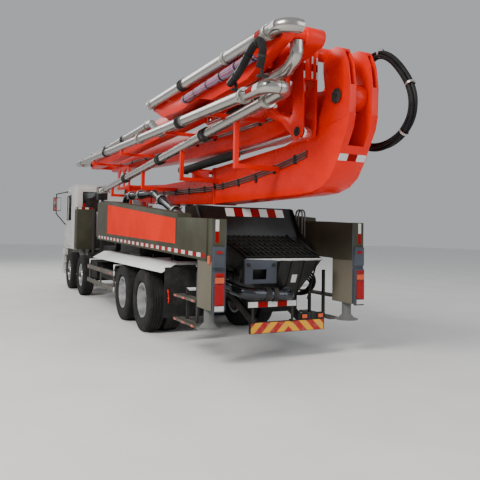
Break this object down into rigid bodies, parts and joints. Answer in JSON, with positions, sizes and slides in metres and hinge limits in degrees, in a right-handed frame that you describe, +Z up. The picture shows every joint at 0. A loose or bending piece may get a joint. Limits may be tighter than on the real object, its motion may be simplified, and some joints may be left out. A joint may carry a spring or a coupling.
{
  "type": "concrete pump truck",
  "caption": "Concrete pump truck with folded boom: steel delivery pipes, turret, swing-out legs with jacks, grated hopper, steered and twin wheels, cab with doors.",
  "frame": {"origin": "on the ground below the middle of the truck's box", "axes": "+X forward, +Y to the driver's left, +Z up"},
  "size_m": [14.2478, 3.1, 4.0999],
  "materials": {
    "boom_paint": "gloss paint",
    "frame_paint": "satin paint",
    "arm_paint": "gloss paint",
    "cab_paint": "gloss paint",
    "pipe_steel": "brushed",
    "rim_steel": "brushed",
    "chrome_rod": "polished",
    "tyre_rubber": "moulded rubber",
    "hose_rubber": "matte rubber",
    "window_glass": "clear",
    "trim_plastic": "matte",
    "jack_paint": "satin paint",
    "guard_paint": "satin paint",
    "engine_iron": "cast"
  },
  "bodies": {
    "truck": {"chassis": "frame_paint", "axles": "frame_paint", "engine": "engine_iron", "cab": "cab_paint", "cab_glass": "window_glass", "cab_inside": "trim_plastic", "front_end": "cab_paint", "mirrors": "trim_plastic", "tanks": "frame_paint", "guards": "guard_paint", "outrigger_frame": "frame_paint", "pump": "frame_paint", "hopper": "frame_paint", "feed_pipe": "pipe_steel"},
    "steering_1l": {"knuckle_1l": "frame_paint"},
    "steering_1r": {"knuckle_1r": "frame_paint"},
    "steering_2l": {"knuckle_2l": "frame_paint"},
    "steering_2r": {"knuckle_2r": "frame_paint"},
    "wheel_1l": {"tyre_1l": "tyre_rubber", "rim_1l": "rim_steel"},
    "wheel_1r": {"tyre_1r": "tyre_rubber", "rim_1r": "rim_steel"},
    "wheel_2l": {"tyre_2l": "tyre_rubber", "rim_2l": "rim_steel"},
    "wheel_2r": {"tyre_2r": "tyre_rubber", "rim_2r": "rim_steel"},
    "wheel_3l": {"tyre_3l": "tyre_rubber", "rim_3l": "rim_steel"},
    "wheel_3r": {"tyre_3r": "tyre_rubber", "rim_3r": "rim_steel"},
    "wheel_4l": {"tyre_4l": "tyre_rubber", "rim_4l": "rim_steel"},
    "wheel_4r": {"tyre_4r": "tyre_rubber", "rim_4r": "rim_steel"},
    "door_l": {"door_l": "cab_paint"},
    "arm_l": {"arm_l": "arm_paint"},
    "jack_rl": {"jack_rl": "jack_paint"},
    "beam_fl": {"beam_fl": "frame_paint"},
    "jack_fl": {"jack_fl": "jack_paint"},
    "door_r": {"door_r": "cab_paint"},
    "arm_r": {"arm_r": "arm_paint"},
    "jack_rr": {"jack_rr": "jack_paint"},
    "beam_fr": {"beam_fr": "frame_paint"},
    "jack_fr": {"jack_fr": "jack_paint"},
    "turret": {"turret": "boom_paint"},
    "boom_1": {"boom_1": "boom_paint", "pipes_1": "pipe_steel"},
    "boom_2": {"boom_2": "boom_paint", "pipes_2": "pipe_steel", "boom_hoses": "hose_rubber"},
    "boom_3": {"boom_3": "boom_paint", "pipes_3": "pipe_steel"},
    "boom_4": {"boom_4": "boom_paint", "pipes_4": "pipe_steel"},
    "boom_5": {"boom_5": "boom_paint"},
    "luff_barrel": {"luff_barrel": "frame_paint"},
    "luff_rod": {"luff_rod": "chrome_rod"},
    "fold_barrels": {"fold_barrels": "frame_paint"},
    "fold_rods": {"fold_rods": "chrome_rod"},
    "grate": {"grate": "frame_paint"}
  },
  "joints": [
    {"name": "steer_1l", "type": "hinge", "parent": "truck", "child": "steering_1l", "pos_m": [5.625, 0.86, 0.545], "axis": [0, 0, 1], "range_deg": [-35, 35]},
    {"name": "steer_1r", "type": "hinge", "parent": "truck", "child": "steering_1r", "pos_m": [5.625, -0.86, 0.545], "axis": [0, 0, 1], "range_deg": [-35, 35]},
    {"name": "steer_2l", "type": "hinge", "parent": "truck", "child": "steering_2l", "pos_m": [3.715, 0.86, 0.545], "axis": [0, 0, 1], "range_deg": [-25, 25]},
    {"name": "steer_2r", "type": "hinge", "parent": "truck", "child": "steering_2r", "pos_m": [3.715, -0.86, 0.545], "axis": [0, 0, 1], "range_deg": [-25, 25]},
    {"name": "spin_1l", "type": "hinge", "parent": "steering_1l", "child": "wheel_1l", "pos_m": [5.625, 1.07, 0.545], "axis": [0, 1, 0], "continuous": true},
    {"name": "spin_1r", "type": "hinge", "parent": "steering_1r", "child": "wheel_1r", "pos_m": [5.625, -1.07, 0.545], "axis": [0, 1, 0], "continuous": true},
    {"name": "spin_2l", "type": "hinge", "parent": "steering_2l", "child": "wheel_2l", "pos_m": [3.715, 1.07, 0.545], "axis": [0, 1, 0], "continuous": true},
    {"name": "spin_2r", "type": "hinge", "parent": "steering_2r", "child": "wheel_2r", "pos_m": [3.715, -1.07, 0.545], "axis": [0, 1, 0], "continuous": true},
    {"name": "spin_3l", "type": "hinge", "parent": "truck", "child": "wheel_3l", "pos_m": [-0.845, 1.07, 0.545], "axis": [0, 1, 0], "continuous": true},
    {"name": "spin_3r", "type": "hinge", "parent": "truck", "child": "wheel_3r", "pos_m": [-0.845, -1.07, 0.545], "axis": [0, 1, 0], "continuous": true},
    {"name": "spin_4l", "type": "hinge", "parent": "truck", "child": "wheel_4l", "pos_m": [-2.225, 1.07, 0.545], "axis": [0, 1, 0], "continuous": true},
    {"name": "spin_4r", "type": "hinge", "parent": "truck", "child": "wheel_4r", "pos_m": [-2.225, -1.07, 0.545], "axis": [0, 1, 0], "continuous": true},
    {"name": "door_l", "type": "hinge", "parent": "truck", "child": "door_l", "pos_m": [6.7415, 1.163, 2], "axis": [0, 0, -1], "range_deg": [0, 70]},
    {"name": "swing_l", "type": "hinge", "parent": "truck", "child": "arm_l", "pos_m": [1.475, 1.11, 1.9], "axis": [0, 0, -1], "range_deg": [0, 80]},
    {"name": "jack_rl", "type": "slide", "parent": "arm_l", "child": "jack_rl", "axis": [0, 0, -1], "range_m": [0, 0.48]},
    {"name": "beam_fl", "type": "slide", "parent": "truck", "child": "beam_fl", "axis": [0, 1, 0], "range_m": [0, 1.2]},
    {"name": "jack_fl", "type": "slide", "parent": "beam_fl", "child": "jack_fl", "axis": [0, 0, -1], "range_m": [0, 0.48]},
    {"name": "door_r", "type": "hinge", "parent": "truck", "child": "door_r", "pos_m": [6.7415, -1.163, 2], "axis": [0, 0, 1], "range_deg": [0, 70]},
    {"name": "swing_r", "type": "hinge", "parent": "truck", "child": "arm_r", "pos_m": [1.475, -1.11, 1.9], "axis": [0, 0, 1], "range_deg": [0, 80]},
    {"name": "jack_rr", "type": "slide", "parent": "arm_r", "child": "jack_rr", "axis": [0, 0, -1], "range_m": [0, 0.48]},
    {"name": "beam_fr", "type": "slide", "parent": "truck", "child": "beam_fr", "axis": [0, -1, 0], "range_m": [0, 1.2]},
    {"name": "jack_fr", "type": "slide", "parent": "beam_fr", "child": "jack_fr", "axis": [0, 0, -1], "range_m": [0, 0.48]},
    {"name": "slew", "type": "hinge", "parent": "truck", "child": "turret", "pos_m": [2.275, 0, 1.4], "axis": [0, 0, 1], "range_deg": [-5, 5]},
    {"name": "boom_1", "type": "hinge", "parent": "turret", "child": "boom_1", "pos_m": [2.775, 0, 2.8], "axis": [0, 1, 0], "range_deg": [0, 85]},
    {"name": "boom_2", "type": "hinge", "parent": "boom_1", "child": "boom_2", "pos_m": [-6.595, 0, 3.35], "axis": [0, -1, 0], "range_deg": [0, 179]},
    {"name": "boom_3", "type": "hinge", "parent": "boom_2", "child": "boom_3", "pos_m": [4.975, 0.6, 3.72], "axis": [0, 1, 0], "range_deg": [0, 180]},
    {"name": "boom_4", "type": "hinge", "parent": "boom_3", "child": "boom_4", "pos_m": [-6.675, 0.95, 3.93], "axis": [0, -1, 0], "range_deg": [0, 180]},
    {"name": "boom_5", "type": "hinge", "parent": "boom_4", "child": "boom_5", "pos_m": [-2.225, 0.82, 4], "axis": [0, 1, 0], "range_deg": [0, 180]},
    {"name": "luff_barrel", "type": "hinge", "parent": "turret", "child": "luff_barrel", "pos_m": [2.375, 0, 1.64], "axis": [0, 1, 0], "range_deg": [0, 75]},
    {"name": "luff_rod", "type": "slide", "parent": "luff_barrel", "child": "luff_rod", "axis": [-0.9826, 0, 0.186], "range_m": [0, 1.55]},
    {"name": "fold_barrels", "type": "hinge", "parent": "boom_1", "child": "fold_barrels", "pos_m": [-1.925, 0, 2.93], "axis": [0, 1, 0], "range_deg": [0, 14]},
    {"name": "fold_rods", "type": "slide", "parent": "fold_barrels", "child": "fold_rods", "axis": [-0.9999, 0, 0.0143], "range_m": [0, 1.1]},
    {"name": "grate", "type": "hinge", "parent": "truck", "child": "grate", "pos_m": [-4.175, 0, 1.705], "axis": [0, 1, 0], "range_deg": [0, 40]}
  ],
  "couplings": [
    {"joint": "steer_1r", "follows": "steer_1l", "ratio": 1},
    {"joint": "steer_2l", "follows": "steer_1l", "ratio": 0.7},
    {"joint": "steer_2r", "follows": "steer_1l", "ratio": 0.7},
    {"joint": "boom_2", "follows": "boom_1", "ratio": 2.1},
    {"joint": "luff_barrel", "follows": "boom_1", "ratio": 0.852},
    {"joint": "luff_rod", "follows": "boom_1", "m_per_rad": 1.004},
    {"joint": "fold_barrels", "follows": "boom_1", "ratio": 0.12},
    {"joint": "fold_rods", "follows": "boom_1", "m_per_rad": 0.68}
  ]
}
